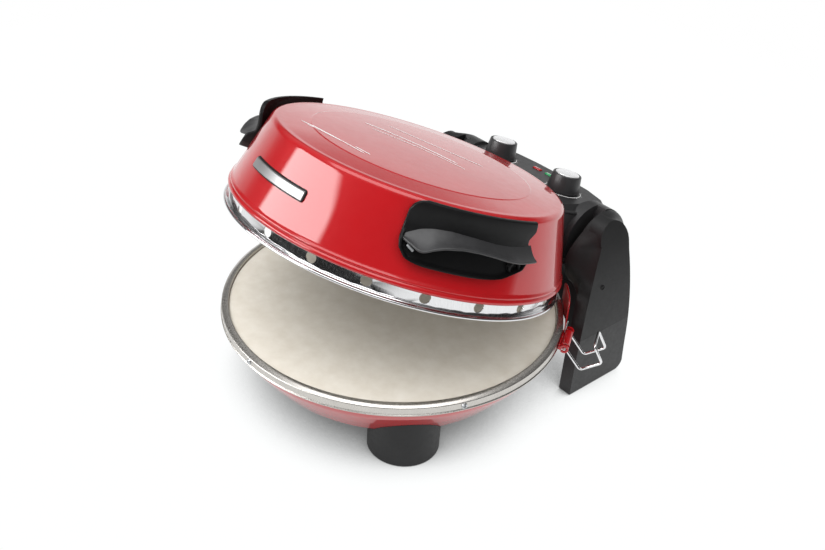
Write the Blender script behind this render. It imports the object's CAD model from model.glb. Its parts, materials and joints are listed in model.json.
import json
import math

import bmesh
import bpy
import numpy as np
from mathutils import Matrix, Vector

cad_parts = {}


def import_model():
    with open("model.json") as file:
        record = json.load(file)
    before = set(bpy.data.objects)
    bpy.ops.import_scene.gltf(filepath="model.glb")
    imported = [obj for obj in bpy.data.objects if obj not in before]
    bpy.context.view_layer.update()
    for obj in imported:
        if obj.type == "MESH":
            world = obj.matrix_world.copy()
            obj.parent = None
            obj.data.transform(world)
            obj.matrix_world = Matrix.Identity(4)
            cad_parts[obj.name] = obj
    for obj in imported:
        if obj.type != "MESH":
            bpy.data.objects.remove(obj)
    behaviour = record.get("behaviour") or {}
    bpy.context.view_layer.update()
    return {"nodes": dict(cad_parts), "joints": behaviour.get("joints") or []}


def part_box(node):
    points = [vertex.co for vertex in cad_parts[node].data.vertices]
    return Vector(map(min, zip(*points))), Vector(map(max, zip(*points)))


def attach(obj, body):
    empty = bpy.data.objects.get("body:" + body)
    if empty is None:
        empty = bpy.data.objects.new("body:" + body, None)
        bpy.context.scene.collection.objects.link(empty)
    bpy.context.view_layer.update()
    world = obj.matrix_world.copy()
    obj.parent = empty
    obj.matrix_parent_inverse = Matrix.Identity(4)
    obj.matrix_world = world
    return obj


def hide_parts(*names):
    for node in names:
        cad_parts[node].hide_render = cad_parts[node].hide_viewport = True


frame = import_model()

MM = 0.001


# ---------------------------------------------------------------- places taken from the frame
def joint(name):
    """The frame's record of a joint."""
    return next(j for j in frame["joints"] if j["name"] == name)


def box_mm(node):
    """The two corners of a node's box, in millimetres."""
    low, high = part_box(node)
    return low / MM, high / MM


PANEL_TILT = math.radians(5.7)
HINGE = Vector(joint("lid_hinge")["pos_m"]) / MM
KNOB_AXIS = -Vector(joint("thermostat_knob_turn")["axis"])
LID_OPEN = PANEL_TILT + math.atan2(KNOB_AXIS.y, KNOB_AXIS.z)
AJAR = Matrix.Translation(HINGE) @ Matrix.Rotation(-LID_OPEN, 4, "X") @ Matrix.Translation(-HINGE)
SHUT = AJAR.inverted()


def shut_points(node):
    """A lid node's points in millimetres, with the lid swung shut."""
    return np.array([SHUT @ (v.co / MM) for v in frame["nodes"][node].data.vertices])


def shut_heights(node):
    """The lowest and highest point of a lid node, with the lid shut."""
    heights = shut_points(node)[:, 2]
    return heights.min(), heights.max()


RIM_LOW, RIM_HIGH = box_mm("base_trim_ring")
RIM_LOW_Z, RIM_R, RIM_Z = RIM_LOW.z, RIM_HIGH.x, RIM_HIGH.z
STONE_LOW, STONE_HIGH = box_mm("baking_stone")
STONE_R = STONE_HIGH.x
BOWL_LOW_Z = box_mm("base_bowl")[0].z
LID_TOP_Z = shut_heights("lid_shell")[1]
RING_LOW_Z = shut_heights("lid_vent_ring")[0]
SHEET = 1.2
CAD_SHARP = 28.0


# ---------------------------------------------------------------- mesh kit
def add(name, data):
    """A new object in the scene."""
    obj = bpy.data.objects.new(name, data)
    bpy.context.scene.collection.objects.link(obj)
    return obj


def finish_mesh(bm, name, body, material, lid=False, replaces=None, sharp=32.0):
    """Turns a bmesh in millimetres into a piece that rides on a body."""
    bmesh.ops.remove_doubles(bm, verts=bm.verts, dist=0.002)
    bmesh.ops.recalc_face_normals(bm, faces=bm.faces)
    for e in bm.edges:
        e.smooth = len(e.link_faces) == 2 and e.calc_face_angle(0.0) < math.radians(sharp)
    for f in bm.faces:
        f.smooth = True
    if lid:
        bm.transform(AJAR)
    bm.transform(Matrix.Scale(MM, 4))
    mesh = bpy.data.meshes.new(name)
    bm.to_mesh(mesh)
    bm.free()
    mesh.materials.append(material)
    obj = add(name, mesh)
    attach(obj, body)
    if replaces:
        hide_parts(replaces)
    return obj


def skin(bm, rows, caps=True):
    """Quads between closed loops of vertices, with a face over each end if asked."""
    for a, b in zip(rows, rows[1:]):
        for k in range(len(a)):
            n = (k + 1) % len(a)
            bm.faces.new([a[k], a[n], b[n], b[k]])
    if caps:
        bm.faces.new(list(reversed(rows[0])))
        bm.faces.new(rows[-1])


def mirror(side):
    """Right-hand pieces stay; left-hand ones are mirrored across the oven."""
    return Matrix.Scale(1 if side == "right" else -1, 4, (1, 0, 0))


def rectangle(u0, u1, v0, v1):
    """The four corners, in order."""
    return [(u0, v0), (u1, v0), (u1, v1), (u0, v1)]


def arc(centre, radius, a0, a1, n):
    """Points along an arc, angles in degrees."""
    step = (a1 - a0) / n
    return [(centre[0] + radius * math.cos(math.radians(a0 + step * i)),
             centre[1] + radius * math.sin(math.radians(a0 + step * i))) for i in range(n + 1)]


def rounded(points, radii, n=6, closed=True):
    """A polygon with each corner turned into an arc of its own radius."""
    out = []
    count = len(points)
    for i, p in enumerate(points):
        r = radii if isinstance(radii, (int, float)) else radii[i]
        if r <= 0 or (not closed and i in (0, count - 1)):
            out.append(tuple(p))
            continue
        here = Vector(p)
        a = (Vector(points[i - 1]) - here)
        b = (Vector(points[(i + 1) % count]) - here)
        la, lb = a.length, b.length
        a.normalize()
        b.normalize()
        half = math.acos(max(-1.0, min(1.0, a.dot(b)))) / 2
        if half < 0.02 or half > math.pi / 2 - 0.02:
            out.append(tuple(p))
            continue
        reach = min(r / math.tan(half), la * 0.49, lb * 0.49)
        real = reach * math.tan(half)
        centre = here + (a + b).normalized() * (real / math.sin(half))
        start, end = here + a * reach - centre, here + b * reach - centre
        turn = math.atan2(start.x * end.y - start.y * end.x, start.dot(end))
        for k in range(n + 1):
            t = turn * k / n
            out.append((centre.x + start.x * math.cos(t) - start.y * math.sin(t),
                        centre.y + start.x * math.sin(t) + start.y * math.cos(t)))
    return out


def lathe(bm, profile, closed=True, steps=256, a0=0.0, sweep=360.0, axis=None):
    """Spins a profile of (radius, height) about Z, or about a frame given as a matrix."""
    whole = abs(sweep - 360) < 1e-6
    rings = steps if whole else steps + 1
    rows = []
    for i in range(rings):
        a = math.radians(a0 + sweep * i / steps)
        ca, sa = math.cos(a), math.sin(a)
        rows.append([bm.verts.new((r * ca, r * sa, z)) for r, z in profile])
    if axis is not None:
        for v in [v for row in rows for v in row]:
            v.co = axis @ v.co
    count = len(profile)
    spans = count if closed else count - 1
    for i in range(steps):
        here, there = rows[i], rows[(i + 1) % rings]
        for k in range(spans):
            quad = [here[k], there[k], there[(k + 1) % count], here[(k + 1) % count]]
            if profile[k][0] < 1e-6:
                quad = [here[k], there[(k + 1) % count], here[(k + 1) % count]]
            elif profile[(k + 1) % count][0] < 1e-6:
                quad = [here[k], there[k], here[(k + 1) % count]]
            if profile[k][0] < 1e-6 and profile[(k + 1) % count][0] < 1e-6:
                continue
            bm.faces.new(quad)
    if not whole and closed:
        bm.faces.new(rows[0])
        bm.faces.new(list(reversed(rows[-1])))
    return rows


def prism(bm, outline, place, depth, bevel, n=3):
    """A plate of the given outline, with rounded edges. place(u, v, w) puts it in the frame."""
    loops = []
    inner = [(0.0, bevel)] + [(bevel * (1 - math.cos(t)), bevel * (1 - math.sin(t)))
                              for t in [math.pi / 2 * (k + 1) / n for k in range(n)]]
    sections = inner[::-1] + [(inset, depth - rise) for inset, rise in inner]
    for inset, w in sections:
        loops.append([bm.verts.new(place(u, v, w)) for u, v in offset(outline, inset)])
    skin(bm, loops)


def offset(outline, inset):
    """The outline moved inward along its normals."""
    if inset == 0:
        return list(outline)
    area = sum(a[0] * b[1] - b[0] * a[1] for a, b in zip(outline, outline[1:] + outline[:1]))
    side = 1 if area > 0 else -1
    out = []
    for i, p in enumerate(outline):
        a = Vector(p) - Vector(outline[i - 1])
        b = Vector(outline[(i + 1) % len(outline)]) - Vector(p)
        na, nb = Vector((-a.y, a.x)).normalized(), Vector((-b.y, b.x)).normalized()
        n = (na + nb)
        n = n / max(n.length_squared / 2, 0.5)
        out.append((p[0] + side * inset * n.x, p[1] + side * inset * n.y))
    return out


def tube(bm, path, radius, sides=20):
    """A round wire along a path, with frames carried along without twist."""
    points = [Vector(p) for p in path]
    tangent = (points[1] - points[0]).normalized()
    across = tangent.orthogonal().normalized()
    rows = []
    for i, p in enumerate(points):
        ahead = points[min(i + 1, len(points) - 1)] - points[max(i - 1, 0)]
        new = ahead.normalized()
        across = (across - new * across.dot(new)).normalized()
        other = new.cross(across)
        rows.append([bm.verts.new(p + (across * math.cos(2 * math.pi * k / sides)
                                       + other * math.sin(2 * math.pi * k / sides)) * radius)
                     for k in range(sides)])
    skin(bm, rows)


def bent(path, radius, n=7):
    """A path of straight runs with each bend turned into an arc, in space."""
    points = [Vector(p) for p in path]
    out = [points[0]]
    for a, here, b in zip(points, points[1:], points[2:]):
        u, v = (a - here), (b - here)
        lu, lv = u.length, v.length
        u.normalize()
        v.normalize()
        half = math.acos(max(-1.0, min(1.0, u.dot(v)))) / 2
        reach = min(radius / math.tan(half), lu * 0.48, lv * 0.48)
        centre = here + (u + v).normalized() * (reach / math.cos(half))
        start, end = here + u * reach - centre, here + v * reach - centre
        whole = start.angle(end)
        for k in range(n + 1):
            t = k / n
            s = (start * math.sin((1 - t) * whole) + end * math.sin(t * whole)) / math.sin(whole)
            out.append(centre + s)
    out.append(points[-1])
    return out


def from_cad(node, body, material, bevel, segments):
    """A CAD node's own shape with its sharp edges rounded."""
    bm = bmesh.new()
    bm.from_mesh(frame["nodes"][node].data)
    bm.transform(Matrix.Scale(1 / MM, 4))
    bmesh.ops.remove_doubles(bm, verts=bm.verts, dist=0.004)
    bmesh.ops.dissolve_limit(bm, angle_limit=math.radians(0.6), verts=bm.verts, edges=bm.edges)
    obj = finish_mesh(bm, node + "_shape", body, material, replaces=node,
                      sharp=CAD_SHARP)
    if bevel:
        mod = obj.modifiers.new("edges", "BEVEL")
        mod.width = bevel * MM
        mod.segments = segments
        mod.limit_method = "ANGLE"
        mod.angle_limit = math.radians(CAD_SHARP)
        mod.harden_normals = True
        mod.use_clamp_overlap = True
    return obj


# ---------------------------------------------------------------- material kit
class Net:
    """A node tree, with short ways to add and join nodes."""

    def __init__(self, tree, clear=True):
        self.tree = tree
        if clear:
            tree.nodes.clear()

    def node(self, kind, **values):
        """Adds a node. A value sets the node's own setting, or else the input of that name."""
        made = self.tree.nodes.new(kind)
        for key, value in values.items():
            if hasattr(made, key):
                setattr(made, key, value)
            else:
                made.inputs[key.replace("_", " ")].default_value = value
        return made

    def link(self, a, b):
        self.tree.links.new(a, b)

    def ramp(self, value, stops):
        """Colours, or plain greys, by value."""
        made = self.node("ShaderNodeValToRGB")
        band = made.color_ramp
        while len(band.elements) < len(stops):
            band.elements.new(0.5)
        for element, (at, tone) in zip(band.elements, stops):
            rgb = (tone, tone, tone) if isinstance(tone, float) else tone
            element.position = at
            element.color = (*rgb, 1.0)
        self.link(value, made.inputs["Fac"])
        return made.outputs["Color"]

    def maths(self, operation, a, b):
        """A maths node over two values, each an output or a number."""
        made = self.node("ShaderNodeMath", operation=operation)
        for plug, value in zip(made.inputs, (a, b)):
            if isinstance(value, float):
                plug.default_value = value
            else:
                self.link(value, plug)
        return made.outputs["Value"]

    def smoothstep(self, value, low, high):
        made = self.node("ShaderNodeMapRange", interpolation_type="SMOOTHSTEP", From_Min=low, From_Max=high)
        self.link(value, made.inputs["Value"])
        return made.outputs["Result"]

    def mix_shader(self, factor, a, b):
        made = self.node("ShaderNodeMixShader")
        self.link(factor, made.inputs["Fac"])
        self.link(a, made.inputs[1])
        self.link(b, made.inputs[2])
        return made.outputs["Shader"]


class Shader(Net):
    """A Principled material whose colour, roughness and bump come from nodes."""

    def __init__(self, name, **inputs):
        self.mat = bpy.data.materials.new(name)
        self.mat.use_nodes = True
        super().__init__(self.mat.node_tree, clear=False)
        self.bsdf = self.tree.nodes["Principled BSDF"]
        for key, value in inputs.items():
            self.bsdf.inputs[key.replace("_", " ")].default_value = value
        self.object = self.node("ShaderNodeTexCoord").outputs["Object"]
        self.height = None

    def noise(self, size, detail=4.0, stretch=(1, 1, 1)):
        """Noise whose grain is about size millimetres, stretched along the axes."""
        mapping = self.node("ShaderNodeMapping", Scale=[s / (size * MM) for s in stretch])
        self.link(self.object, mapping.inputs["Vector"])
        made = self.node("ShaderNodeTexNoise", Scale=1.0, Detail=detail, Roughness=0.55)
        self.link(mapping.outputs["Vector"], made.inputs["Vector"])
        return made.outputs["Fac"]

    def spread(self, value, low, high):
        made = self.node("ShaderNodeMapRange", From_Min=0.25, From_Max=0.75, To_Min=low, To_Max=high)
        self.link(value, made.inputs["Value"])
        return made.outputs["Result"]

    def colour(self, value, stops):
        self.link(self.ramp(value, stops), self.bsdf.inputs["Base Color"])

    def rough(self, value, low, high):
        self.link(self.spread(value, low, high), self.bsdf.inputs["Roughness"])

    def bump(self, value, depth, strength=1.0):
        """Adds a bump of a depth in millimetres on top of any earlier one."""
        made = self.node("ShaderNodeBump", Strength=strength, Distance=depth * MM)
        self.link(value, made.inputs["Height"])
        if self.height is not None:
            self.link(self.height, made.inputs["Normal"])
        self.height = made.outputs["Normal"]
        self.link(self.height, self.bsdf.inputs["Normal"])


def tones(colour, spread=0.08):
    """Two stops a little under and over a colour."""
    return [(0.3, [c * (1 - spread) for c in colour]), (0.7, [min(1, c * (1 + spread)) for c in colour])]


def surface(name, colour, rough, bump, **inputs):
    """A material whose colour, roughness and bump follow noise. Each starts with its noise, as a size in
    millimetres, a detail and perhaps a stretch. Its stops, its range, or its depth and strength follow."""
    s = Shader(name, **inputs)
    for put, (noise, *values) in ((s.colour, colour), (s.rough, rough), (s.bump, bump)):
        put(s.noise(*noise), *values)
    return s.mat


def red_enamel():
    return surface("red_enamel", ((60, 3), tones((0.46, 0.0055, 0.009), 0.05)), ((9, 5), 0.30, 0.40),
                   ((7, 2), 0.006, 0.12), Coat_Weight=1.0, Coat_Roughness=0.03, Coat_IOR=1.6,
                   Specular_IOR_Level=0.1)


def polished_steel():
    streak = (1.0, 3, (1, 1, 0.06))
    return surface("polished_steel", (streak, tones((0.80, 0.80, 0.81), 0.04)), (streak, 0.07, 0.17),
                   (streak, 0.004, 0.25), Metallic=1.0, Anisotropic=0.4)


def rim_steel():
    grain = (0.5, 6, (1, 1, 0.2))
    return surface("rim_steel", ((14, 5), tones((0.60, 0.575, 0.54), 0.05)), (grain, 0.20, 0.36),
                   (grain, 0.004, 0.3), Metallic=1.0, Anisotropic=0.5)


def zinc():
    return surface("zinc_screw", ((1.4, 5), tones((0.62, 0.63, 0.64), 0.12)), ((0.7, 4), 0.22, 0.42),
                   ((0.4, 3), 0.01, 0.3), Metallic=1.0)


def reflector_sheet():
    return surface("reflector_sheet", ((25, 6), tones((0.74, 0.73, 0.71), 0.10)), ((3, 5), 0.22, 0.42),
                   ((12, 4), 0.05, 0.3), Metallic=1.0)


def heater_sheath():
    stops = [(0.3, (0.05, 0.048, 0.047)), (0.7, (0.13, 0.115, 0.10))]
    return surface("heater_sheath", ((7, 6), stops), ((2, 5), 0.45, 0.7), ((0.6, 4), 0.02, 0.5), Metallic=0.7)


def stone():
    s = Shader("fired_stone", Specular_IOR_Level=0.35)
    grain = s.noise(1.1, 8)
    s.colour(s.noise(16, 9), [(0.28, (0.76, 0.70, 0.60)), (0.72, (0.86, 0.81, 0.72))])
    s.rough(grain, 0.72, 0.92)
    s.bump(grain, 0.12, 0.45)
    s.bump(s.noise(0.35, 3), 0.05, 0.5)
    return s.mat


def black_plastic(name, tone=0.020, low=0.36, high=0.50, grain=0.35, depth=0.03, shine=0.5):
    return surface(name, ((22, 5), tones((tone, tone, tone * 1.04), 0.12)), ((4, 5), low, high),
                   ((grain, 2), depth, 0.5), Specular_IOR_Level=shine)


def rubber():
    return surface("rubber", ((3, 6), tones((0.022, 0.022, 0.023), 0.2)), ((1, 4), 0.6, 0.8),
                   ((0.5, 4), 0.04, 0.6), Specular_IOR_Level=0.3)


def bright_wire():
    return surface("bright_wire", ((5, 3), tones((0.84, 0.84, 0.85), 0.04)), ((1.5, 4), 0.08, 0.18),
                   ((0.5, 2), 0.004, 0.3), Metallic=1.0)


def silver_lacquer(name="silver_lacquer", rough=(0.24, 0.36), tone=0.92, metal=0.4):
    return surface(name, ((0.3, 3), tones((tone, tone, tone * 1.01), 0.05)), ((0.6, 4), *rough),
                   ((0.4, 2, (1, 0.1, 0.1)), 0.006, 0.4), Metallic=metal, Coat_Weight=0.3)


def paint(name, colour, rough=(0.35, 0.5)):
    return surface(name, ((2.5, 4), tones(colour, 0.05)), ((1.0, 3), *rough), ((0.3, 2), 0.008, 0.3))


def lens(name, colour):
    return surface(name, ((1.2, 2, (1, 0.2, 1)), tones(colour, 0.25)), ((0.5, 2), 0.08, 0.18),
                   ((0.8, 1, (4, 0.2, 0.2)), 0.05, 0.5), Transmission_Weight=0.25, Coat_Weight=0.6, IOR=1.49)


def wool():
    stops = [(0.3, (0.50, 0.42, 0.25)), (0.7, (0.74, 0.66, 0.44))]
    return surface("mineral_wool", ((1.5, 8), stops), ((1, 4), 0.85, 0.98), ((0.8, 8, (1, 1, 4)), 0.4, 0.8),
                   Specular_IOR_Level=0.1, Sheen_Weight=0.3)


def copper():
    s = Shader("copper_bulb", Metallic=1.0)
    s.colour(s.noise(4, 5), tones((0.80, 0.42, 0.26), 0.12))
    s.rough(s.noise(2, 4), 0.25, 0.45)
    return s.mat


RED = red_enamel()
STEEL = polished_steel()
RIM = rim_steel()
ZINC = zinc()
REFLECTOR = reflector_sheet()
SHEATH = heater_sheath()
STONE = stone()
BLACK = black_plastic("satin_black", tone=0.007, shine=0.2)
LEG_BLACK = black_plastic("leg_black", tone=0.014, low=0.38, high=0.50, grain=0.5, depth=0.04, shine=0.3)
SHOE_BLACK = black_plastic("shoe_black", tone=0.024, low=0.42, high=0.55, grain=0.5, depth=0.05, shine=0.4)
BOX_BLACK = black_plastic("box_black", tone=0.026, low=0.34, high=0.46)
KNOB_BLACK = black_plastic("knob_black", tone=0.030, low=0.30, high=0.44, grain=0.25)
SHELF_BLACK = black_plastic("shelf_black", tone=0.034, low=0.34, high=0.48, grain=0.6, depth=0.05)
RUBBER = rubber()
HOLE_BLACK = black_plastic("hole_black", tone=0.003, low=0.6, high=0.8)
WIRE = bright_wire()
SILVER = silver_lacquer()
BRUSHED = silver_lacquer("brushed_badge", (0.30, 0.45), tone=0.30, metal=0.8)
WHITE = paint("white_print", (0.80, 0.80, 0.79))
PINSTRIPE = paint("pinstripe", (0.95, 0.90, 0.90))
GREY_PAINT = paint("pale_grey", (0.34, 0.35, 0.36))
LAMP_RED = lens("red_lens", (0.62, 0.012, 0.018))
LAMP_GREEN = lens("green_lens", (0.01, 0.42, 0.13))
WOOL = wool()
NYLON = paint("nylon", (0.78, 0.74, 0.64))
STEATITE = paint("steatite", (0.70, 0.63, 0.50), (0.5, 0.7))
COPPER = copper()
MATERIALS = {
    "lower_reflector": REFLECTOR, "lower_element": SHEATH, "lower_element_clips": ZINC,
    "base_insulation": WOOL, "foot_pads": RUBBER, "foot_screws": ZINC,
    "hinge_pins": WIRE, "lid_reflector": REFLECTOR, "lid_insulation": WOOL,
    "upper_element": SHEATH, "upper_element_clips": ZINC, "handle_screws": ZINC,
    "cover_screws": ZINC, "hinge_bushes": NYLON, "hinge_washers": ZINC, "thermostat": STEATITE,
    "timer": BLACK, "terminal_block": NYLON, "thermostat_bulb": COPPER,
    "thermostat_spindle": WIRE, "timer_spindle": WIRE, "trim_screws": ZINC, "rear_bridge": BLACK,
}
for node, material in MATERIALS.items():
    data = frame["nodes"][node].data
    data.materials.clear()
    data.materials.append(material)


# ---------------------------------------------------------------- base
def base_bowl():
    """The pressed bowl: an upright collar, one soft shoulder and a flat floor with slots."""
    outer = [(RIM_R - 1.8, RIM_Z - 2), (RIM_R - 2.0, 76), (RIM_R - 3.4, 71), (158.2, 65), (147.8, 50),
             (132.8, 30.6), (126.2, 24.6), (117, BOWL_LOW_Z + 1), (107, BOWL_LOW_Z), (88, BOWL_LOW_Z),
             (84, BOWL_LOW_Z + 1.4), (30, BOWL_LOW_Z + 1.4), (26, BOWL_LOW_Z), (0, BOWL_LOW_Z)]
    outer = rounded(outer, [0, 6, 10, 30, 60, 20, 14, 20, 12, 2, 2, 2, 2, 0], closed=False)
    inner = [(max(0, r - SHEET * 0.8), z + (SHEET if z < 70 else 0)) for r, z in reversed(outer)]
    bm = bmesh.new()
    lathe(bm, outer + inner)
    finish_mesh(bm, "bowl", "base", RED, replaces="base_bowl")


def bowl_louvres():
    """Raised louvres in the bowl's floor, in the places of its slots."""
    bm = bmesh.new()
    for k in range(12):
        turn = Matrix.Rotation(math.radians(30 * k), 4, "Z")
        outline = rounded(rectangle(69, 91, -3, 3), 2.9)

        def place(u, v, w):
            return turn @ Vector((u, v, BOWL_LOW_Z + 1.2 - w))
        prism(bm, outline, place, 2.0, 0.9)
    finish_mesh(bm, "bowl_louvres", "base", RED)


def trim_ring():
    """The steel rim: a crowned top that falls inward to the stone, and a small foot on the bowl."""
    inner = RIM_R - 6.8
    profile = [(inner, RIM_Z - 2.5), (inner, RIM_Z + 1.9), (RIM_R - 3, RIM_Z + 0.9), (RIM_R, RIM_Z - 0.6),
               (RIM_R, RIM_LOW_Z + 1.6), (RIM_R + 0.9, RIM_LOW_Z + 1.0), (RIM_R + 0.9, RIM_LOW_Z),
               (RIM_R - SHEET, RIM_LOW_Z), (RIM_R - SHEET, RIM_Z - 1.8), (inner + SHEET, RIM_Z + 0.4),
               (inner + SHEET, RIM_Z - 2.5)]
    profile = rounded(profile, [0.4, 1.0, 8, 0.9, 0.5, 0.4, 0.4, 0.2, 0.5, 0.5, 0.2], n=5)
    bm = bmesh.new()
    lathe(bm, profile, steps=320)
    finish_mesh(bm, "trim_ring", "base", RIM, replaces="base_trim_ring")


def dome_screw(bm, place, head_r, head_h):
    """A pan head with a cross recess, on a polar grid."""
    rings, sides = 9, 48
    rows = []
    for i in range(rings + 1):
        q = i / rings
        row = []
        for k in range(sides):
            a = 2 * math.pi * k / sides
            x, y = head_r * q * math.cos(a), head_r * q * math.sin(a)
            z = head_h * math.sqrt(max(0.0, 1 - 0.75 * q ** 4)) if i < rings else 0
            arm = min(abs(x), abs(y)) < head_r * 0.14 and max(abs(x), abs(y)) < head_r * 0.6
            row.append(bm.verts.new(place(x, y, z - (head_h * 0.6 if arm else 0))))
        rows.append(row)
    skin(bm, rows, caps=False)


def trim_screws():
    """Five cross-headed screws round the rim."""
    low, high = box_mm("trim_screws")
    bm = bmesh.new()
    for k in range(5):
        turn = Matrix.Rotation(math.radians(-90 + 72 * k), 4, "Z")

        def place(x, y, z):
            return turn @ Vector((RIM_R - 0.1 + z, x, (low.z + high.z) / 2 + y))
        dome_screw(bm, place, 2.9, 1.5)
    finish_mesh(bm, "trim_screw_heads", "base", ZINC, replaces="trim_screws")


def baking_stone():
    """The fired stone, with a soft edge and a worn, slightly uneven face."""
    lip = RIM_R - 7.1
    shelf = STONE_HIGH.z - 1.6
    profile = [(0, STONE_LOW.z), (STONE_R, STONE_LOW.z), (STONE_R, shelf), (lip, shelf),
               (lip, STONE_HIGH.z + 0.3), (0, STONE_HIGH.z)]
    profile = rounded(profile, [0, 2, 0, 0.2, 0.9, 0], n=5, closed=False)
    flat = [(STONE_R * k / 24, STONE_HIGH.z) for k in range(22, 0, -1)]
    bm = bmesh.new()
    lathe(bm, profile[:-1] + flat + [(0, STONE_HIGH.z)], closed=False)
    finish_mesh(bm, "stone_disc", "base", STONE, replaces="baking_stone")


def foot_and_leg(side):
    """One side's front foot, and its rear leg with its shoe and hip."""
    from_cad("front_foot_" + side, "base", LEG_BLACK, bevel=1.6, segments=4)
    from_cad("leg_" + side, "base", LEG_BLACK, bevel=1.5, segments=4)
    from_cad("leg_shoe_" + side, "base", SHOE_BLACK, bevel=1.5, segments=4)
    leg_hip(side)


LEG_BEND_X, LEG_BEND_R, LEG_BEND_Z = -153.2, 296.7, 45.0
LEG_FRONT_Y, LEG_FRONT_R, LEG_FRONT_Z = 308, 196, 40
HIP_X, HIP_R, HIP_SWELL, HIP_SWELL_AT = 99.9, 34.0, 13, 205
LEG_SCREW_Y = 143.0


def leg_face_x(z):
    """How far out the leg's bowed outer face is at a height."""
    return LEG_BEND_X + math.sqrt(LEG_BEND_R ** 2 - max(0.0, z - LEG_BEND_Z) ** 2)


def leg_front_y(z):
    """Where the leg's bowed front edge is at a height."""
    return LEG_FRONT_Y - math.sqrt(LEG_FRONT_R ** 2 - (z - LEG_FRONT_Z) ** 2)


def leg_hip(side):
    """The swelling at the top of a leg, from the outline of its face in to the hinge barrel."""
    front = [(leg_front_y(z), z) for z in np.linspace(97, 149, 20)]
    top = arc((165, 148.5), 20.0, 172, -4, 23)
    rear = [(184.4 + 0.0005 * (z - 118) ** 2, z) for z in np.linspace(136, 112, 8)]
    under = [(183 - 60 * k / 13, 108 - 11 * k / 13) for k in range(12)]
    turns = list(np.linspace(218, 168, 20)) + list(np.linspace(165, 22, 24))
    turns += list(np.linspace(18, -52, 8)) + list(np.linspace(-60, -136, 12))
    disc = []
    for t in turns:
        a = math.radians(t)
        reach = HIP_R + HIP_SWELL * smooth((65 - abs((t - HIP_SWELL_AT + 180) % 360 - 180)) / 50)
        disc.append((HINGE.y + reach * math.cos(a), HINGE.z + reach * math.sin(a)))
    bm = bmesh.new()
    loops = []
    for s in np.linspace(0, 1, 13):
        w = smooth(s)
        loop = []
        for (fy, fz), (dy, dz) in zip(front + top + rear + under, disc):
            x0 = leg_face_x(fz) - 0.9
            loop.append(bm.verts.new((x0 + (HIP_X - x0) * s, fy + (dy - fy) * w, fz + (dz - fz) * w)))
        loops.append(loop)
    skin(bm, loops)
    bm.transform(mirror(side))
    finish_mesh(bm, "leg_hip_" + side, "base", LEG_BLACK, sharp=40)


def leg_screw_wells():
    """Dark wells over the leg screws."""
    bm = bmesh.new()
    low, high = box_mm("leg_screws")
    for sign in (1, -1):
        z = (low.z + high.z) / 2
        spot = Vector((sign * (leg_face_x(z) - 0.5), LEG_SCREW_Y, z))
        turn = Matrix.Translation(spot) @ Matrix.Rotation(sign * math.pi / 2, 4, "Y")
        lathe(bm, [(0, 0.3), (1.9, 0.3), (2.5, 0.9), (2.9, 0.6), (2.9, -0.5), (0, -0.5)],
              closed=False, steps=40, axis=turn)
    finish_mesh(bm, "leg_screw_wells", "base", HOLE_BLACK, replaces="leg_screws")


def apron():
    """The two red ears behind the bowl, bent round it."""
    low, high = box_mm("rear_apron")
    half, middle, radius = 7.0, 47.5, 166
    outline = rounded(rectangle(-half, half, low.z, high.z), [0.6, 0.6, 5, 5], n=5)
    bm = bmesh.new()
    for sign in (1, -1):
        def place(u, v, w):
            a = math.radians(middle + u)
            return Vector((sign * (radius + w) * math.cos(a), (radius + w) * math.sin(a), v))
        prism(bm, dense(outline, 1.0), place, 1.6, 0.45)
    finish_mesh(bm, "rear_ears", "base", RED, replaces="rear_apron")


def dense(outline, step):
    """The outline with its long runs cut into short ones."""
    out = []
    for a, b in zip(outline, outline[1:] + outline[:1]):
        a, b = Vector(a), Vector(b)
        n = max(1, int((b - a).length / step))
        out += [tuple(a + (b - a) * k / n) for k in range(n)]
    return out


# ---------------------------------------------------------------- wire bail
BAIL = joint("wire_bail_swing")
BAIL_AT = Vector(BAIL["pos_m"]) / MM
BAIL_OUT = Vector((BAIL_AT.x, BAIL_AT.y, 0)).normalized()
BAIL_ALONG = Vector((-BAIL_OUT.y, BAIL_OUT.x, 0))


def at_bail(x, y, z):
    """A point by distance out from the bowl, along the bracket, and up."""
    return BAIL_AT + BAIL_OUT * x + BAIL_ALONG * y + Vector((0, 0, z))


def wire_bail():
    """The bent wire: two arms, each with three bends, and the bar between them."""
    half = 12.5
    arm = [(0, 0), (17.4, -21), (35.8, -8), (26.8, 8.5)]
    path = [at_bail(0, -half + 3, 0)]
    path += [at_bail(x, -half, z) for x, z in arm]
    path += [at_bail(x, half, z) for x, z in reversed(arm)]
    path += [at_bail(0, half - 3, 0)]
    bm = bmesh.new()
    tube(bm, bent(path, 3.0), 1.28)
    finish_mesh(bm, "bail_wire", "wire_bail_body", WIRE, replaces="wire_bail", sharp=60)


def bail_bracket():
    """A red sheet tab rolled round the wire, with a gap for each arm, and a pale tooth above it."""
    bm = bmesh.new()
    for y0, y1 in ((-16, -14.1), (-10.9, 10.9), (14.1, 16)):
        curl = arc((0, 0), 4.2, 205, -135, 26)
        inner = arc((0, 0), 2.6, -135, 205, 26)
        skin(bm, [[bm.verts.new(at_bail(x, y, z)) for x, z in curl + inner] for y in (y0, y1)])
    outline = rounded(rectangle(-12, 12, -5, 1), 1.5)
    prism(bm, outline, lambda u, v, w: at_bail(-5.9 + w, u, v), 1.6, 0.4)
    outline = rounded(rectangle(-14, 14, -6, -2), 0.6)
    prism(bm, outline, lambda u, v, w: at_bail(v, u, -1.0 + w), 1.8, 0.4)
    finish_mesh(bm, "bail_tab", "base", RED, replaces="bail_bracket")
    bm = bmesh.new()
    tooth = rounded([(7, 2), (13, 2), (12.2, 13), (10.8, 13)], 0.5)
    prism(bm, tooth, lambda u, v, w: at_bail(-4.6 + w + 0.12 * v, u, v), 1.0, 0.2)
    finish_mesh(bm, "bail_tooth", "base", ZINC)


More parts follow.
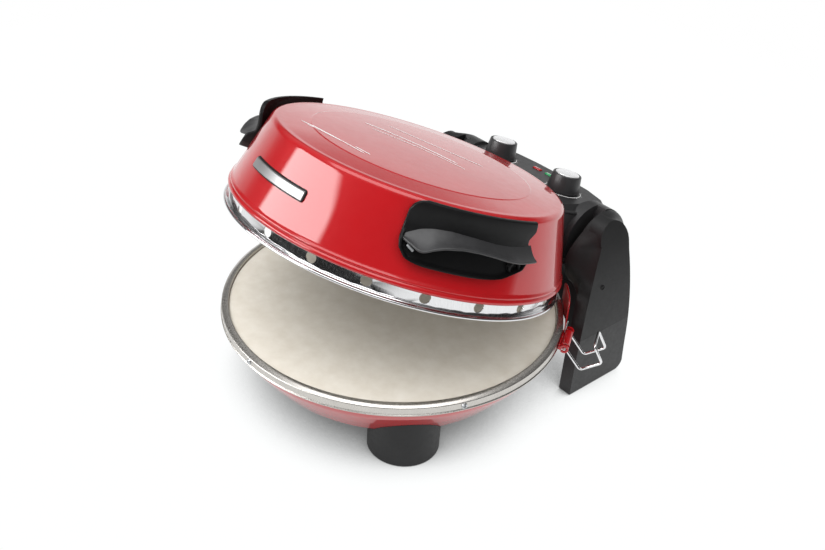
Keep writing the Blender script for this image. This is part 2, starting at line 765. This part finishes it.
# ---------------------------------------------------------------- mains lead
PLUG_LOW, PLUG_HIGH = box_mm("mains_plug")
PLUG_AT = (PLUG_LOW + PLUG_HIGH) / 2
SLEEVE_LOW, SLEEVE_HIGH = box_mm("strain_relief")
SLEEVE_AT = (SLEEVE_LOW + SLEEVE_HIGH) / 2
ALONG_X = Matrix.Rotation(math.pi / 2, 4, "Y")
ALONG_Y = Matrix.Rotation(-math.pi / 2, 4, "X")


def mains_lead():
    """The lead, from its sleeve back, down to the table and along to the plug."""
    x, z, y_far, table = SLEEVE_AT.x, SLEEVE_AT.z, PLUG_AT.y, PLUG_AT.z
    path = bent([(x, SLEEVE_HIGH.y - 14, z), (x, y_far, z), (x, y_far, table),
                 (PLUG_LOW.x + 8, y_far, table)], 17, n=14)
    bm = bmesh.new()
    tube(bm, path, 3.4)
    finish_mesh(bm, "mains_lead", "base", RUBBER, replaces="mains_cord", sharp=60)


def lead_sleeve():
    """The ribbed sleeve where the lead leaves the oven."""
    ribs = [(3.6, 0), (7, 0), (7, 1.2)]
    for k in range(5):
        ribs += [(5.0, 1.8 + 2.6 * k), (5.0, 3.0 + 2.6 * k), (5.8, 3.2 + 2.6 * k), (5.8, 4.2 + 2.6 * k)]
    ribs += [(4.4, 16.5), (3.6, 16.5)]
    bm = bmesh.new()
    start = Matrix.Translation((SLEEVE_AT.x, SLEEVE_LOW.y + 0.6, SLEEVE_AT.z))
    lathe(bm, ribs, steps=48, axis=start @ ALONG_Y)
    finish_mesh(bm, "lead_sleeve", "base", RUBBER, replaces="strain_relief")


def mains_plug():
    """A plain two pin plug lying on the table."""
    pin_length, neck_length = 16, 13
    end = PLUG_HIGH.x - pin_length - PLUG_LOW.x - 14
    half = (PLUG_HIGH.y - PLUG_LOW.y) / 2
    bm = bmesh.new()
    neck = [(0, 0), (4.6, 0), (5.6, 11), (6.1, neck_length + 1)]
    start = Matrix.Translation((PLUG_LOW.x, PLUG_AT.y, PLUG_AT.z))
    lathe(bm, neck, closed=False, steps=48, axis=start @ ALONG_X)
    outline = rounded([(0, -6.2), (9, -half), (end, -half), (end, half), (9, half), (0, 6.2)], 2.5)

    def place(u, v, w):
        return Vector((PLUG_LOW.x + neck_length + u, PLUG_AT.y + v, PLUG_LOW.z + w))
    prism(bm, outline, place, PLUG_HIGH.z - PLUG_LOW.z, 2.6, n=5)
    finish_mesh(bm, "plug_body", "base", BLACK, replaces="mains_plug")
    bm = bmesh.new()
    pin = rounded(rectangle(0, 2, 0, pin_length), [0, 0, 1.2, 0])
    for sign in (-1, 1):
        root = Matrix.Translation((PLUG_HIGH.x - pin_length - 0.5, PLUG_AT.y + sign * 5.5, PLUG_AT.z))
        lathe(bm, pin, closed=False, steps=24, axis=root @ ALONG_X)
    finish_mesh(bm, "plug_pins", "base", WIRE)


# ---------------------------------------------------------------- lid
WALL_LOW = Vector((157.3, 110.5))
WALL_TOP = Vector((138.2, 168.4))
SHOULDER_R = 6.5
LEAN = math.atan2(WALL_LOW.x - WALL_TOP.x, WALL_TOP.y - WALL_LOW.y)
SHOULDER = WALL_TOP - Vector((math.cos(LEAN), math.sin(LEAN))) * SHOULDER_R
DOME = LID_TOP_Z - SHOULDER.y - SHOULDER_R
SLOT_R = 104.5


def wall_r(z):
    """The radius of the lid's leaning wall at a height."""
    return WALL_LOW.x - (z - WALL_LOW.y) * math.tan(LEAN)


CREASE_R = 103.0


def top_z(r):
    """Height of the lid's top: a low dome with a soft pressed crease round it."""
    beyond = max(0.0, r - CREASE_R)
    dome = SHOULDER.y + SHOULDER_R + DOME * (1 - (r / SHOULDER.x) ** 2)
    return dome + 0.035 * (SHOULDER.x - CREASE_R) - 0.035 * beyond - 0.3 * smooth(beyond / 1.2)


def lid_shell():
    """The spun lid: a rolled lip, a fold line, a leaning wall, a round shoulder and a low dome."""
    lip = arc((157.1, 106.2), 2.4, -170, 52, 16)
    fold = arc((156.5, 109.9), 1.8, -42, 36, 8)
    shoulder = arc(SHOULDER, SHOULDER_R, math.degrees(LEAN), 90 - 3.4, 14)
    wall = [tuple(WALL_LOW + (WALL_TOP - WALL_LOW) * t) for t in (0.02, 0.05, 0.3, 0.6, 0.9, 0.97)]
    rings = [SHOULDER.x - 28.0 * k / 12 for k in range(1, 12)]
    rings += [CREASE_R + step for step in (1.6, 1.2, 0.8, 0.4, 0.0, -0.6)]
    dome = [(r, top_z(r)) for r in rings + [101.0 * (1 - k / 30) for k in range(31)]]
    outer = lip + fold + wall + shoulder + dome
    inner = [(0, top_z(0) - SHEET)]
    inner += [(r, top_z(r) - SHEET) for r in [SHOULDER.x * k / 8 for k in range(1, 8)]]
    under = arc(SHOULDER, SHOULDER_R - SHEET, math.degrees(LEAN), 90, 8)
    inner += [(x - 0.2, y) for x, y in reversed(under)]
    inner += [(wall_r(112) - SHEET * 1.1, 112), (154.9, 109)]
    bm = bmesh.new()
    lathe(bm, outer + inner, steps=320)
    obj = finish_mesh(bm, "lid_dome", "lid", RED, lid=True, replaces="lid_shell",
                      sharp=42)
    cut_steam_slot(obj)


def cut_steam_slot(obj):
    """The narrow steam slot across the back of the top, cut right through."""
    bm = bmesh.new()
    half, wide = 19.0, 1.4
    outline = dense(rounded(rectangle(-half, half, -wide, wide), 0.5, n=3), 1.2)

    def place(u, v, w):
        a = math.radians(90) - u / SLOT_R
        r = SLOT_R + 1.6 + v
        return Vector((r * math.cos(a), r * math.sin(a), top_z(SLOT_R) - 6 + w))
    prism(bm, outline, place, 12, 0.1)
    subtract(obj, bm)


def subtract(obj, bm):
    """Cuts a closed shape, given shut and in millimetres, out of a lid piece."""
    bm.transform(AJAR)
    bm.transform(Matrix.Scale(MM, 4))
    bmesh.ops.recalc_face_normals(bm, faces=bm.faces)
    mesh = bpy.data.meshes.new("cutter")
    bm.to_mesh(mesh)
    bm.free()
    cutter = add("cutter", mesh)
    mod = obj.modifiers.new("cut", "BOOLEAN")
    mod.operation = "DIFFERENCE"
    mod.solver = "EXACT"
    mod.object = cutter
    apply_modifiers(obj)
    bpy.data.objects.remove(cutter)


def apply_modifiers(obj):
    """Bakes the modifiers into the piece's mesh."""
    bpy.context.view_layer.update()
    shape = obj.evaluated_get(bpy.context.evaluated_depsgraph_get())
    mesh = bpy.data.meshes.new_from_object(shape)
    obj.modifiers.clear()
    old = obj.data
    obj.data = mesh
    bpy.data.meshes.remove(old)


STEAM_HOLES, STEAM_HOLE_R, STEAM_HOLE_Z = 20, 4.8, 99.4
BAND_LOW_Z, BAND_HIGH_Z = RING_LOW_Z + 2.6, 108.0


def band_share(bm, radius, middle, half):
    """The band round one steam hole, at one radius. Gives back the edge of the hole."""
    steps = 32
    near, far = [], []
    for k in range(steps):
        t = 2 * math.pi * (k + 0.5) / steps
        c, s = math.cos(t), math.sin(t)
        scale = min(half * radius / max(abs(c), 1e-9), STEAM_HOLE_R * 1.55 / max(abs(s), 1e-9))
        near.append((STEAM_HOLE_R * c, STEAM_HOLE_R * s))
        far.append((c * scale, s * scale))

    def at(u, v):
        a = middle + u / radius
        return bm.verts.new((radius * math.cos(a), radius * math.sin(a), STEAM_HOLE_Z + v))
    rows = [[at(u * grow, v * grow) for u, v in near] for grow in (1, 1.08)]
    rows.append([at(u, v) for u, v in far])
    skin(bm, rows, caps=False)
    for first, edge in ((0, BAND_HIGH_Z), (steps // 2, BAND_LOW_Z)):
        share = slice(first, first + steps // 2)
        row = rows[2][share]
        ends = [at(u, edge - STEAM_HOLE_Z) for u, _ in far[share]]
        for k in range(len(row) - 1):
            bm.faces.new([row[k], row[k + 1], ends[k + 1], ends[k]])
    return rows[0]


def vent_ring():
    """The polished ring under the lid: a band with round steam holes and a rolled bottom bead."""
    outer_r, inner_r = 154.4, 153.4
    half = math.radians(180 / STEAM_HOLES)
    bm = bmesh.new()
    for k in range(STEAM_HOLES):
        middle = math.radians(3) + 2 * half * k
        skin(bm, [band_share(bm, radius, middle, half) for radius in (outer_r, inner_r)], caps=False)
    low = BAND_LOW_Z
    bead = arc((158.7, RING_LOW_Z + 1.3), 1.3, -180, 128, 18)
    hem = [(inner_r, low + 0.6), (inner_r, low - 1.6), (157.0, low - 1.6)] + bead
    hem += [(157.4, low - 0.5), (outer_r + 0.6, low - 0.5), (outer_r, low + 0.1), (outer_r, low + 0.6)]
    lathe(bm, hem, steps=320)
    finish_mesh(bm, "steam_ring", "lid", STEEL, lid=True, replaces="lid_vent_ring",
                sharp=40)


def on_wall(angle, z, out=0.0):
    """A point by angle from straight ahead, height, and distance out from the lid's wall, all shut."""
    a = math.radians(angle - 90)
    r = wall_r(z) + out
    return Vector((r * math.cos(a), r * math.sin(a), z))


def wall_plate(bm, outline, thickness, edge, cells, out=0.25, relief=None, proud=None):
    """A round-edged plate on the lid's wall. outline is (low, high, sides), and sides(z) gives the left
    and right angles. relief(z, distance from the edge) adds thickness; proud(z) lifts the plate."""
    cols, rows = cells
    low, high, sides = outline
    front, back = [], []
    for j in range(rows + 1):
        v = 0.5 - 0.5 * math.cos(math.pi * j / rows)
        z = low + (high - low) * v
        left, right = sides(z)
        row_f, row_b = [], []
        for i in range(cols + 1):
            u = 0.5 - 0.5 * math.cos(math.pi * i / cols)
            t = left + (right - left) * u
            reach = math.radians(right - left) * wall_r(z)
            d = min((z - low), (high - z), u * reach, (1 - u) * reach)
            q = min(1.0, max(0.0, d / edge))
            lift = thickness * (0.25 + 0.75 * math.sqrt(1 - (1 - q) ** 2))
            if relief:
                lift += relief(z, d)
            base = out + (proud(z) if proud else 0.0)
            row_f.append(bm.verts.new(on_wall(t, z, base + lift)))
            row_b.append(bm.verts.new(on_wall(t, z, base)))
        front.append(row_f)
        back.append(row_b)
    for j in range(rows):
        for i in range(cols):
            bm.faces.new([front[j][i], front[j][i + 1], front[j + 1][i + 1], front[j + 1][i]])
            bm.faces.new([back[j][i], back[j + 1][i], back[j + 1][i + 1], back[j][i + 1]])
    for j in range(rows):
        for i in (0, cols):
            bm.faces.new([front[j][i], front[j + 1][i], back[j + 1][i], back[j][i]])
    for i in range(cols):
        for j in (0, rows):
            bm.faces.new([front[j][i], front[j][i + 1], back[j][i + 1], back[j][i]])


def smooth(x):
    """0 below 0, 1 above 1, and an even S between."""
    x = min(1.0, max(0.0, x))
    return x * x * (3 - 2 * x)


# The right handle's outlines on the wall: angles from straight ahead in degrees, heights in millimetres.
PLATE_Z = (125.4, 174.2)
PLATE_LEFT = ((125.4, 57), (126, 50.6), (128.4, 46.8), (135, 44.5), (141.5, 43.9), (164, 44.2),
              (169.5, 45.3), (172.4, 46.8), (174.2, 49.5))
PLATE_RIGHT = ((125.4, 64), (126.2, 70.5), (127.6, 76.8), (129.5, 79.2), (133, 82.4), (136, 85.6),
               (146, 88.4), (151, 89.6), (155.5, 88.2), (159, 88.0), (166, 89.4), (174.2, 88.8))
SHELF_ROOT = ((44, 145.5), (46.5, 148.2), (49.5, 152), (53, 154.6), (59, 156), (67, 154.8), (74.5, 152.8),
              (81, 152.4), (90, 154))
SHELF_EDGE = ((44, 143.5), (47.5, 141.4), (50.3, 139.4), (52, 140.6), (54, 144), (57, 147.2),
              (62, 149.6), (67, 149.8), (72, 148.4), (77, 146.2), (82, 144.8), (90, 145.2))
SHELF_OUT = ((44, 5.6), (47.5, 11.5), (50.3, 16.5), (54, 18.6), (58, 19.6), (66, 19.8), (72, 19),
             (78, 17.4), (84, 15), (90, 12.6))
WELL_AT = (82.4, 136.8)
CATCH_AT = (47.9, 136.4)


def along(table, at):
    """Smooth value of a short table of (place, value) pairs."""
    places, values = zip(*table)
    near = [np.interp(at + d, places, values) for d in (-1.0, -0.5, 0.0, 0.5, 1.0)]
    return float(np.dot(near, (0.1, 0.2, 0.4, 0.2, 0.1)))


def handle_proud(z):
    """How far the handle stands off the wall at a height: more towards the top."""
    return 8.6 * smooth((z - 148) / 27)


def handle_plate(side):
    """The curved back plate, standing proud at the top, with a raised lip round its lower half."""
    def sides(z):
        return along(PLATE_LEFT, z), along(PLATE_RIGHT, z)

    def lip(z, d):
        return 5.0 * smooth((148 - z) / 6) * smooth((3.6 - d) / 1.4)

    bm = bmesh.new()
    wall_plate(bm, (*PLATE_Z, sides), 3.6, 1.3, (120, 60), relief=lip, proud=handle_proud)
    bm.transform(mirror(side))
    finish_mesh(bm, "handle_plate_" + side, "lid", BLACK, lid=True, replaces="handle_" + side,
                sharp=50)


def handle_shelf(side):
    """The finger shelf: a swept, slightly dished ledge whose front edge dips at the near end."""
    rows = []
    count = 90
    for i in range(count + 1):
        t = 44.0 + 45.6 * i / count
        root_z, edge_z = along(SHELF_ROOT, t), along(SHELF_EDGE, t)
        root = wall_r(root_z) + 3.4 + handle_proud(root_z)
        reach = wall_r(edge_z) + along(SHELF_OUT, t)
        section = []
        for k in range(9):
            s = k / 9
            section.append((root + (reach - 0.9 - root) * s,
                            root_z + (edge_z - root_z) * s - 1.3 * math.sin(math.pi * s)))
        section += arc((reach - 1.0, edge_z - 1.1), 1.15, 80, -95, 7)
        section += [(root + (reach - root) * 0.55, edge_z - 1.6), (root, min(edge_z - 1.0, root_z - 5))]
        a = math.radians(t - 90)
        rows.append([(r * math.cos(a), r * math.sin(a), z) for r, z in section])
    bm = bmesh.new()
    skin(bm, [[bm.verts.new(co) for co in row] for row in rows])
    bm.transform(mirror(side))
    finish_mesh(bm, "handle_shelf_" + side, "lid", SHELF_BLACK, lid=True, sharp=50)


def facing_out(spot):
    """A frame at a point of the wall, with Z straight out from the lid's axis."""
    turn = Vector((spot.x, spot.y, 0)).to_track_quat("Z", "Y").to_matrix().to_4x4()
    return Matrix.Translation(spot) @ turn


def handle_fittings(side):
    """A deep screw well at the far end and a small pale catch at the near end."""
    bm = bmesh.new()
    well = [(3.9, -3.2), (3.9, 3.6), (4.4, 4.3), (5.6, 4.3), (6.3, 3.4), (6.6, -3.2)]
    outward = facing_out(on_wall(*WELL_AT, 3.0))
    lathe(bm, well, steps=48, axis=outward)
    lathe(bm, [(0, 1.1), (3.95, 1.1), (3.95, 0.6), (0, 0.6)], closed=False, steps=48, axis=outward)
    bm.transform(mirror(side))
    finish_mesh(bm, "handle_well_" + side, "lid", HOLE_BLACK, lid=True)
    bm = bmesh.new()
    lean = facing_out(on_wall(*CATCH_AT, 5.2)) @ Matrix.Rotation(math.radians(-32), 4, "Z")
    outline = rounded(rectangle(-3.6, 3.6, -1.0, 1.0), 0.5)
    prism(bm, outline, lambda u, v, w: lean @ Vector((u, v, w)), 2.2, 0.4)
    bm.transform(mirror(side))
    finish_mesh(bm, "handle_catch_" + side, "lid", GREY_PAINT, lid=True)


def badge():
    """A blank plate in a dark frame on the front of the lid."""
    low, high = 134.6, 144.8
    left_end, right_end = -18.6, 11.6

    def frame_sides(z):
        r = 2.6
        edge = min(z - low, high - z)
        cut = 0.0
        if edge < r:
            cut = (r - math.sqrt(max(0.0, r * r - (r - edge) ** 2))) * math.degrees(1 / 150)
        return left_end + cut, right_end - cut
    bm = bmesh.new()
    wall_plate(bm, (low, high, frame_sides), 1.2, 0.6, (70, 18), out=0.15)
    finish_mesh(bm, "badge_frame", "lid", BLACK, lid=True, replaces="badge_plate",
                sharp=50)

    def face_sides(z):
        left, right = frame_sides(z)
        return left + 0.5, right - 0.5
    bm = bmesh.new()
    wall_plate(bm, (low + 1.2, high - 1.2, face_sides), 0.8, 0.5, (70, 14), out=1.3)
    finish_mesh(bm, "badge_face", "lid", BRUSHED, lid=True, sharp=50)


def stripe(bm, start, end, width, bow):
    """A painted line on the dome between two (x, y) points, with a slight bow."""
    a, b = Vector(start), Vector(end)
    side = Vector((-(b - a).y, (b - a).x)).normalized()
    rows = []
    count = 40
    for i in range(count + 1):
        q = i / count
        p = a + (b - a) * q + side * bow * math.sin(math.pi * q)
        w = width * min(1.0, 0.3 + 20 * min(q, 1 - q))
        row = []
        for s in (-1, 1):
            x, y = p + side * w / 2 * s
            row.append(bm.verts.new((x, y, top_z(math.hypot(x, y)) + 0.16)))
        rows.append(row)
    for u, v in zip(rows, rows[1:]):
        bm.faces.new([u[0], v[0], v[1], u[1]])


def polar(r, angle):
    """A point on the lid's top by radius and angle."""
    return r * math.cos(math.radians(angle)), r * math.sin(math.radians(angle))


def pinstripes():
    """Plain painted lines on the top of the lid."""
    bm = bmesh.new()
    for start, end, width, bow in (((112, -123), (88, -78), 1.5, 0), ((108, -118), (90, -96), 1.2, 0),
                                   ((84, -88), (84, -76), 1.5, 0), ((70, -170), (34, 32), 2.2, 3),
                                   ((54, -160), (44, 20), 1.4, 3), ((70, 165), (60, 62), 1.8, -3)):
        stripe(bm, polar(*start), polar(*end), width, bow)
    finish_mesh(bm, "pinstripes", "lid", PINSTRIPE, lid=True)


# ---------------------------------------------------------------- controls
def control_box():
    """The box behind the lid. The housing's ends are cut back to leave room for the cheeks."""
    housing = from_cad("control_housing", "lid", BOX_BLACK, bevel=0, segments=3)
    for sign in (1, -1):
        bm = bmesh.new()
        place = Matrix.LocRotScale(Vector((sign * 94.2, 146, 134)), None, Vector((11.5, 38, 84)))
        bmesh.ops.create_cube(bm, size=1, matrix=place)
        subtract(housing, bm)
    for node in ("control_panel", "rear_cover"):
        from_cad(node, "lid", BOX_BLACK, bevel=1.0, segments=3)
    cheeks()


def cheeks():
    """The upright side walls of the box, ending in a soft rear edge."""
    bm = bmesh.new()
    outline = rounded([(126, 157.6), (126, 104), (163.5, 101), (176.5, 157.6)], [1, 8, 10, 1.5])
    inner_x, splay, rear_y = 66, 0.16, 176
    for sign in (1, -1):
        prism(bm, outline, lambda u, v, w: Vector((sign * (inner_x + w - splay * (rear_y - u)), u, v)),
              22.4, 2.6, n=4)
    finish_mesh(bm, "housing_cheeks", "lid", BOX_BLACK, lid=True)


def panel_matrix(x, y=0.0, lift=0.0):
    """A frame on the control panel, shut, with z out of the panel, at a place taken from the knobs."""
    spin = SHUT @ (Vector(joint("thermostat_knob_turn")["pos_m"]) / MM)
    tilted = Matrix.Translation((0, spin.y, spin.z)) @ Matrix.Rotation(PANEL_TILT, 4, "X")
    return tilted @ Matrix.Translation((x, y, lift))


KNOB_X = joint("thermostat_knob_turn")["pos_m"][0] / MM


def knob(name, x, body):
    """A tapered knob with fine grip flutes and a silver cap."""
    bm = bmesh.new()
    height, foot, head = 17.5, 16.6, 14.3
    seat = height - 0.9
    profile = rounded([(12.5, 0), (foot, 0), (head, height), (head - 2.3, height), (head - 2.3, seat),
                       (0, seat)], [0.2, 0.7, 0.9, 0.3, 0.2, 0], n=4, closed=False)
    rows = lathe(bm, [(0, 0)] + profile, closed=False, steps=240)
    for i, row in enumerate(rows):
        for v in row:
            r = math.hypot(v.co.x, v.co.y)
            if r > head - 0.9 and 1.2 < v.co.z < height - 1.2:
                flute = 0.22 * (0.5 + 0.5 * math.cos(2 * math.pi * i / 6))
                v.co.x *= 1 - flute / r
                v.co.y *= 1 - flute / r
    bm.transform(panel_matrix(x, 0, 0.6))
    finish_mesh(bm, name + "_grip", body, KNOB_BLACK, lid=True, replaces=name,
                sharp=40)
    bm = bmesh.new()
    r = head - 2.5
    cap = rounded([(0, 0), (r, 0), (r, 1.5), (0, 1.9)], [0, 0.2, 0.5, 0], n=4, closed=False)
    cap = cap[:-1] + [(r * k / 10, 1.5 + 0.4 * (1 - (k / 10) ** 2)) for k in range(9, 0, -1)] + [(0, 1.9)]
    lathe(bm, cap, closed=False, steps=96)
    bm.transform(panel_matrix(x, 0, 0.6 + seat))
    finish_mesh(bm, name + "_disc", body, SILVER, lid=True, replaces=name + "_cap")


def dial_marks():
    """A white ring round each knob, broken at the back, with a few plain ticks."""
    bm = bmesh.new()
    for x in (-KNOB_X, KNOB_X):
        place = panel_matrix(x, 0, 0.02)
        start, sweep, ticks = -235, 290, 11
        lathe(bm, [(18.2, 0), (19.1, 0), (19.1, 0.2), (18.2, 0.2)], steps=120, a0=start, sweep=sweep,
              axis=place)
        for k in range(ticks):
            a = start + sweep / (ticks - 1) * k
            outline = rectangle(19.6, 20.8, -0.25, 0.25)
            turn = place @ Matrix.Rotation(math.radians(a), 4, "Z")
            prism(bm, outline, lambda u, v, w: turn @ Vector((u, v, w)), 0.16, 0.05, n=2)
    finish_mesh(bm, "dial_marks", "lid", WHITE, lid=True, replaces="dial_rings")


def lamps():
    """The two pilot lamps, let into the panel."""
    for slot, sign, material in (("lamp_red", -1, LAMP_RED), ("lamp_green", 1, LAMP_GREEN)):
        node = "pilot_" + slot
        bm = bmesh.new()
        place = panel_matrix(sign * 8.5, 21.5)
        outline = rounded(rectangle(-5, 5, -2.5, 2.5), 1.0)
        prism(bm, outline, lambda u, v, w: place @ Vector((u, v, w - 2.5)), 3.6, 0.7)
        finish_mesh(bm, node + "_lens", "lid", material, lid=True, replaces=node)


# ---------------------------------------------------------------- stage
def sheet(name, width, height, material):
    """One flat sheet that isn't part of the oven."""
    corners = rectangle(-width / 2, width / 2, -height / 2, height / 2)
    mesh = bpy.data.meshes.new(name)
    mesh.from_pydata([(x, y, 0) for x, y in corners], [], [(0, 1, 2, 3)])
    mesh.materials.append(material)
    obj = add(name, mesh)
    return obj


def glow(name, strength):
    """A material that only gives light: the material, its nodes, the light and the output."""
    mat = bpy.data.materials.new(name)
    mat.use_nodes = True
    net = Net(mat.node_tree)
    out = net.node("ShaderNodeOutputMaterial")
    return mat, net, net.node("ShaderNodeEmission", Strength=strength), out.inputs["Surface"]


def floor():
    """A glowing white sheet that darkens where the oven is near. The lamps cast no shadow on it."""
    mat, net, light, out = glow("floor_paper", 1.0)
    near = net.node("ShaderNodeAmbientOcclusion", samples=16, Distance=0.075)
    stops = [(0.0, 0.03), (0.25, 0.22), (0.42, 0.62), (0.55, 0.90), (0.68, 1.0)]
    tinted = [(at, (v, v * 1.01, v * 1.01)) for at, v in stops]
    net.link(net.ramp(near.outputs["AO"], tinted), light.inputs["Color"])
    net.link(light.outputs["Emission"], out)
    sheet("floor", 2.2, 2.2, mat)


AIM = Vector((0, 0, 0.14))


def direction(azimuth, elevation):
    """A unit vector: azimuth 0 points to the front, -Y, and grows towards +X."""
    a, e = math.radians(azimuth), math.radians(elevation)
    return Vector((math.sin(a) * math.cos(e), -math.cos(a) * math.cos(e), math.sin(e)))


def softbox(name, azimuth, elevation, distance, width, height, strength):
    """A bright card with soft edges that only reflections see."""
    mat, net, light, out = glow(name, strength)
    split = net.node("ShaderNodeSeparateXYZ")
    net.link(net.node("ShaderNodeTexCoord").outputs["Generated"], split.inputs["Vector"])
    edges = [net.smoothstep(split.outputs[axis], low, high)
             for axis in ("X", "Y") for low, high in ((0.0, 0.10), (1.0, 0.90))]
    value = edges[0]
    for other in edges[1:]:
        value = net.maths("MULTIPLY", value, other)
    clear = net.node("ShaderNodeBsdfTransparent")
    net.link(net.mix_shader(value, clear.outputs["BSDF"], light.outputs["Emission"]), out)
    obj = sheet(name, width, height, mat)
    away = direction(azimuth, elevation)
    turn = away.to_track_quat("-Z", "Y").to_matrix().to_4x4()
    obj.matrix_world = Matrix.Translation(AIM + away * distance) @ turn
    obj.visible_camera = False
    obj.visible_diffuse = False
    obj.visible_shadow = False
    obj.visible_transmission = False


def lamp(name, azimuth, elevation, distance, size, power):
    """A round area light that reflections don't see."""
    light = bpy.data.lights.new(name, "AREA")
    light.shape = "DISK"
    light.size = size
    light.energy = power
    obj = add(name, light)
    away = direction(azimuth, elevation)
    obj.location = away * distance + Vector((0, 0, 0.1))
    obj.rotation_euler = away.to_track_quat("Z", "Y").to_euler()
    obj.visible_glossy = False


def reflected_world(net):
    """What reflections see: a dark studio with a pale area at the back left, both by height."""
    around = net.node("ShaderNodeTexCoord").outputs["Generated"]
    split = net.node("ShaderNodeSeparateXYZ")
    net.link(around, split.inputs["Vector"])
    height = net.maths("ADD", net.maths("MULTIPLY", split.outputs["Z"], 0.5), 0.5)
    facing = net.node("ShaderNodeVectorMath", operation="DOT_PRODUCT")
    facing.inputs[1].default_value = direction(-133, 0)
    net.link(around, facing.inputs[0])
    pale = net.ramp(height, [(0.0, 0.9), (0.43, 1.0), (0.50, 0.90), (0.535, 0.95), (0.56, 0.60),
                             (0.58, 0.40), (0.61, 0.28), (0.625, 0.05), (0.67, 0.05), (0.76, 0.35),
                             (0.85, 0.42), (1.0, 0.35)])
    dark = net.ramp(height, [(0.0, 0.9), (0.43, 0.85), (0.452, 0.12), (0.47, 0.015), (0.62, 0.02),
                             (0.80, 0.06), (0.90, 0.25), (1.0, 0.5)])
    mix = net.node("ShaderNodeMix", data_type="RGBA")
    net.link(net.smoothstep(facing.outputs["Value"], 0.25, 0.85), mix.inputs["Factor"])
    net.link(dark, mix.inputs["A"])
    net.link(pale, mix.inputs["B"])
    made = net.node("ShaderNodeBackground")
    net.link(mix.outputs["Result"], made.inputs["Color"])
    return made.outputs["Background"]


def world():
    """White for the camera, even white for diffuse light, and a studio of its own for reflections."""
    scene_world = bpy.data.worlds.new("studio")
    bpy.context.scene.world = scene_world
    scene_world.use_nodes = True
    net = Net(scene_world.node_tree)
    out = net.node("ShaderNodeOutputWorld")
    path = net.node("ShaderNodeLightPath")
    soft, white = [net.node("ShaderNodeBackground", Color=(1, 1, 1, 1), Strength=strength)
                   for strength in (0.62, 1.0)]
    shade = net.mix_shader(path.outputs["Is Glossy Ray"], soft.outputs["Background"], reflected_world(net))
    shade = net.mix_shader(path.outputs["Is Camera Ray"], shade, white.outputs["Background"])
    net.link(shade, out.inputs["Surface"])


def camera():
    """Looks down at the front right of the oven from a metre away, tilted a little."""
    azimuth, elevation, roll = 47.41, 33.24, 4.15
    distance, aside, above = 0.96434, 0.01809, 0.02037
    back = direction(azimuth, elevation)
    right = Vector((math.cos(math.radians(azimuth)), math.sin(math.radians(azimuth)), 0))
    up = back.cross(right)
    c, s = math.cos(math.radians(roll)), math.sin(math.radians(roll))
    right, up = right * c + up * s, up * c - right * s
    data = bpy.data.cameras.new("camera")
    data.lens = 43.53
    data.sensor_width = 36
    obj = add("camera", data)
    place = Matrix((right, up, back)).transposed().to_4x4()
    place.translation = Vector((0, 0, RIM_Z * MM)) + right * aside + up * above + back * distance
    obj.matrix_world = place
    bpy.context.scene.camera = obj


def studio():
    """The floor, the surroundings, the camera and the lights."""
    floor()
    world()
    camera()
    softbox("front_softbox", -28, 25, 2.0, 1.9, 1.15, 7.2)
    softbox("top_softbox", 20, 84, 2.0, 2.2, 1.6, 3.0)
    lamp("key", -20, 62, 1.9, 1.6, 24)
    lamp("fill", 80, 50, 2.2, 1.8, 12)
    view = bpy.context.scene.view_settings
    view.view_transform = "Standard"
    view.look = "None"


# ---------------------------------------------------------------- build
base_bowl()
bowl_louvres()
trim_ring()
trim_screws()
baking_stone()
for side in ("right", "left"):
    foot_and_leg(side)
leg_screw_wells()
from_cad("rear_bridge", "base", BLACK, bevel=1.4, segments=3)
apron()
wire_bail()
bail_bracket()
mains_lead()
lead_sleeve()
mains_plug()
lid_shell()
vent_ring()
for side in ("right", "left"):
    handle_plate(side)
    handle_shelf(side)
    handle_fittings(side)
badge()
pinstripes()
control_box()
knob("thermostat_knob", KNOB_X, "thermostat_knob_body")
knob("timer_knob", -KNOB_X, "timer_knob_body")
dial_marks()
lamps()
studio()
